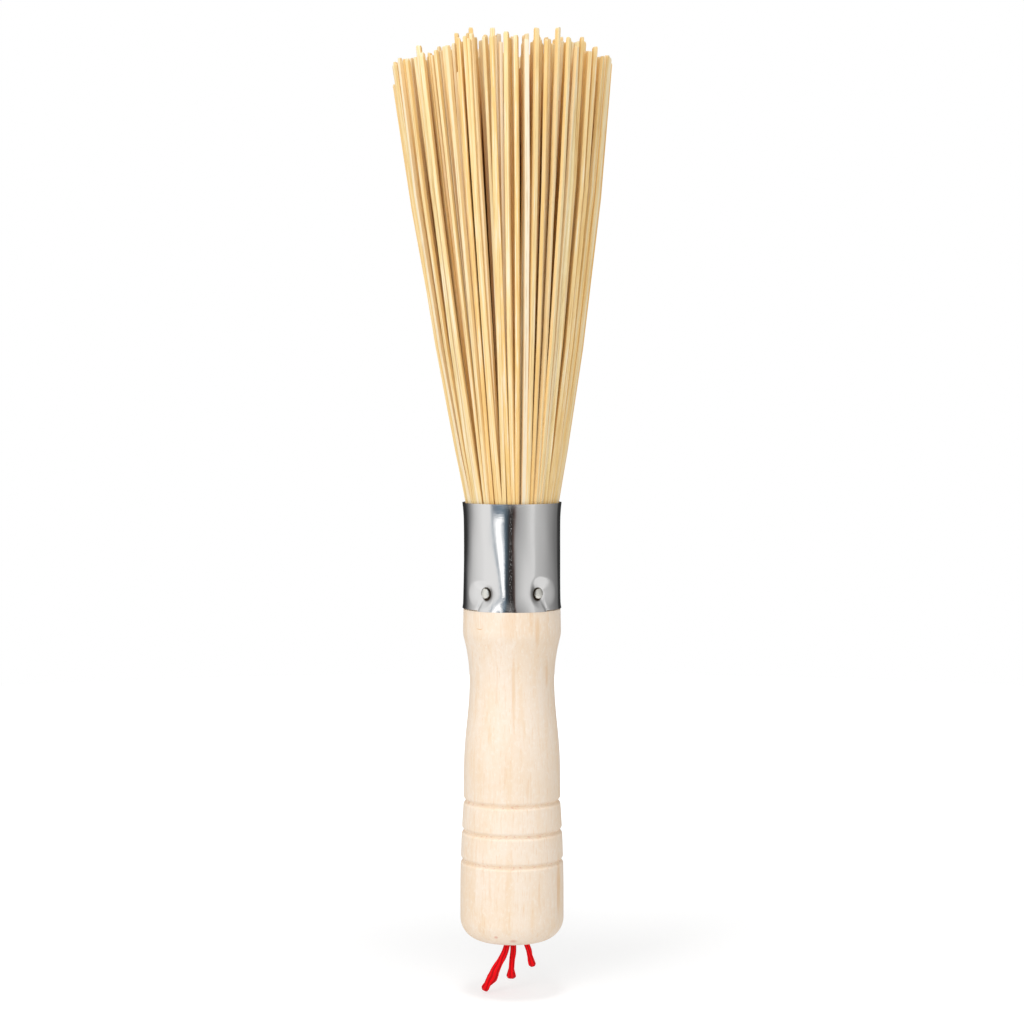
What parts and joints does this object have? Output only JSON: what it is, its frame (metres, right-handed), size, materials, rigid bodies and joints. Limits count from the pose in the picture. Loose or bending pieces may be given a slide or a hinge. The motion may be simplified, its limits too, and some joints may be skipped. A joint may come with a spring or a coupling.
{
  "type": "wok brush",
  "caption": "Hand brush for scrubbing a wok: a fan of bamboo slivers packed in a rolled tinplate ferrule that is nailed to a turned wooden grip, with short cord tails at the butt.",
  "frame": {"origin": "on the axis in the middle of the hand grip, where the handle is narrowest", "axes": "+Z along the axis from the butt to the sliver tips, -Y towards the front, so the ferrule's lap is at +Y"},
  "size_m": [0.0689, 0.0689, 0.3024],
  "materials": {
    "handle_wood": "bare turned wood, sanded",
    "tinplate": "bright rolled tinplate with dents at the nails",
    "nail_steel": "domed nail heads, lightly tarnished",
    "bamboo": "split bamboo, straight fibres",
    "binding_wire": "annealed wire",
    "red_cord": "braided cord with melted ends"
  },
  "bodies": {
    "root": {"handle": "handle_wood", "ferrule": "tinplate", "ferrule_nail_1": "nail_steel", "ferrule_nail_2": "nail_steel", "ferrule_nail_3": "nail_steel", "ferrule_nail_4": "nail_steel", "ferrule_nail_5": "nail_steel", "bamboo_core": "bamboo", "bamboo_inner_1": "bamboo", "bamboo_inner_2": "bamboo", "bamboo_inner_3": "bamboo", "bamboo_inner_4": "bamboo", "bamboo_inner_5": "bamboo", "bamboo_inner_6": "bamboo", "bamboo_outer_1": "bamboo", "bamboo_outer_2": "bamboo", "bamboo_outer_3": "bamboo", "bamboo_outer_4": "bamboo", "bamboo_outer_5": "bamboo", "bamboo_outer_6": "bamboo", "root_binding_wire": "binding_wire", "cord_knot": "red_cord", "cord_tail_left": "red_cord", "cord_tail_middle": "red_cord", "cord_tail_right": "red_cord"}
  },
  "joints": []
}
